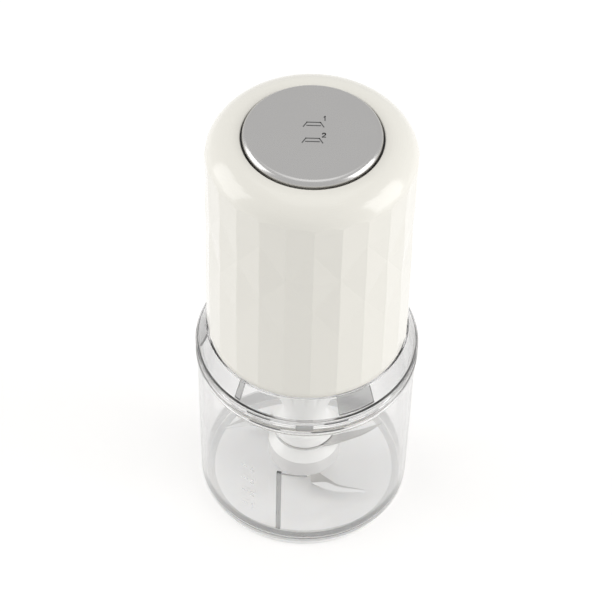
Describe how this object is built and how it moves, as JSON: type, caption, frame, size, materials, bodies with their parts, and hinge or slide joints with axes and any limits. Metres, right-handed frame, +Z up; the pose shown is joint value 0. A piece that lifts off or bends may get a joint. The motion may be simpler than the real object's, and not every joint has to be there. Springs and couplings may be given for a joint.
{
  "type": "mini chopper food processor",
  "caption": "Mini chopper: clear bowl on a non-slip base, clear lid, twin-level blade unit and a faceted power unit with a large press plate on top.",
  "frame": {"origin": "centre of the underside of the non-slip base", "axes": "+Z up along the axis of the bowl and the motor, front faces -Y"},
  "size_m": [0.1144, 0.1153, 0.255],
  "materials": {
    "base_rubber": "translucent soft rubber, matt",
    "clear_plastic": "clear moulded plastic, high gloss",
    "lid_clear_plastic": "clear moulded plastic, high gloss",
    "polished_steel": "polished stainless steel",
    "seal_silicone": "soft translucent silicone",
    "blade_steel": "ground stainless steel",
    "hub_plastic": "white moulded plastic, satin gloss",
    "bush_brass": "plain brass",
    "gear_nylon": "natural nylon",
    "gear_steel": "turned steel",
    "core_steel": "stacked steel sheets",
    "copper_wire": "varnished copper",
    "grey_plastic": "grey moulded plastic",
    "screw_steel": "zinc-plated steel",
    "spring_steel": "spring wire",
    "carbon": "black, matt",
    "body_plastic": "warm white moulded plastic, gloss",
    "gland_rubber": "soft grey rubber",
    "board_green": "printed circuit board",
    "capacitor_yellow": "moulded case",
    "button_metal": "satin silver"
  },
  "bodies": {
    "base": {"non_slip_base": "base_rubber"},
    "bowl": {"bowl": "clear_plastic", "bowl_pin": "polished_steel"},
    "blade_unit": {"blade_hub": "hub_plastic", "lower_blade": "blade_steel", "upper_blade": "blade_steel", "hub_bush": "bush_brass", "drive_socket": "gear_nylon"},
    "lid": {"bowl_lid": "lid_clear_plastic", "lid_seal": "seal_silicone"},
    "power_unit": {"outer_shell": "body_plastic", "base_cover": "body_plastic", "gearbox_housing": "grey_plastic", "output_bush": "bush_brass", "ring_gear": "gear_nylon", "motor_bracket": "grey_plastic", "lower_bearing": "gear_steel", "stator_core": "core_steel", "field_coils": "copper_wire", "motor_frame": "grey_plastic", "upper_bearing": "gear_steel", "motor_bolts": "screw_steel", "brush_holders": "bush_brass", "carbon_brushes": "carbon", "switch_deck": "grey_plastic", "circuit_board": "board_green", "speed_switches": "carbon", "suppression_capacitor": "capacitor_yellow", "cord_gland": "gland_rubber", "gearbox_screws": "screw_steel", "cover_screws": "screw_steel", "deck_screws": "screw_steel", "button_spring": "spring_steel"},
    "button": {"press_plate": "button_metal", "button_carrier": "grey_plastic"},
    "armature": {"motor_shaft": "gear_steel", "armature_core": "core_steel", "armature_windings": "copper_wire", "commutator": "copper_wire", "cooling_fan": "gear_nylon", "sun_gear": "gear_steel"},
    "planet_carrier": {"carrier_plate": "gear_steel", "planet_pins": "gear_steel", "output_shaft": "gear_steel", "drive_coupling": "gear_nylon"},
    "planet_1": {"planet_gear_1": "gear_nylon"},
    "planet_2": {"planet_gear_2": "gear_nylon"},
    "planet_3": {"planet_gear_3": "gear_nylon"}
  },
  "joints": [
    {"name": "bowl_lift", "type": "slide", "parent": "base", "child": "bowl", "axis": [0, 0, 1], "range_m": [0, 0.05]},
    {"name": "lid_lift", "type": "slide", "parent": "bowl", "child": "lid", "axis": [0, 0, 1], "range_m": [0, 0.08]},
    {"name": "power_unit_lift", "type": "slide", "parent": "lid", "child": "power_unit", "axis": [0, 0, 1], "range_m": [0, 0.08]},
    {"name": "button_press", "type": "slide", "parent": "power_unit", "child": "button", "axis": [0, 0, 1], "range_m": [-0.004, 0], "stiffness_N_per_m": 900, "springref_m": 0.005, "deforming": ["button_spring"]},
    {"name": "armature_spin", "type": "hinge", "parent": "power_unit", "child": "armature", "pos_m": [0, 0, 0.18], "axis": [0, 0, 1], "continuous": true},
    {"name": "carrier_spin", "type": "hinge", "parent": "power_unit", "child": "planet_carrier", "pos_m": [0, 0, 0.128], "axis": [0, 0, 1], "continuous": true},
    {"name": "blade_spin", "type": "hinge", "parent": "bowl", "child": "blade_unit", "pos_m": [0, 0, 0.03], "axis": [0, 0, 1], "continuous": true},
    {"name": "planet_1_spin", "type": "hinge", "parent": "planet_carrier", "child": "planet_1", "pos_m": [0.012, 0, 0.137], "axis": [0, 0, 1], "continuous": true},
    {"name": "planet_2_spin", "type": "hinge", "parent": "planet_carrier", "child": "planet_2", "pos_m": [-0.006, 0.01039, 0.137], "axis": [0, 0, 1], "continuous": true},
    {"name": "planet_3_spin", "type": "hinge", "parent": "planet_carrier", "child": "planet_3", "pos_m": [-0.006, -0.01039, 0.137], "axis": [0, 0, 1], "continuous": true}
  ],
  "couplings": [
    {"joint": "carrier_spin", "follows": "armature_spin", "ratio": 0.2},
    {"joint": "blade_spin", "follows": "armature_spin", "ratio": 0.2},
    {"joint": "planet_1_spin", "follows": "armature_spin", "ratio": -0.53333},
    {"joint": "planet_2_spin", "follows": "armature_spin", "ratio": -0.53333},
    {"joint": "planet_3_spin", "follows": "armature_spin", "ratio": -0.53333}
  ]
}
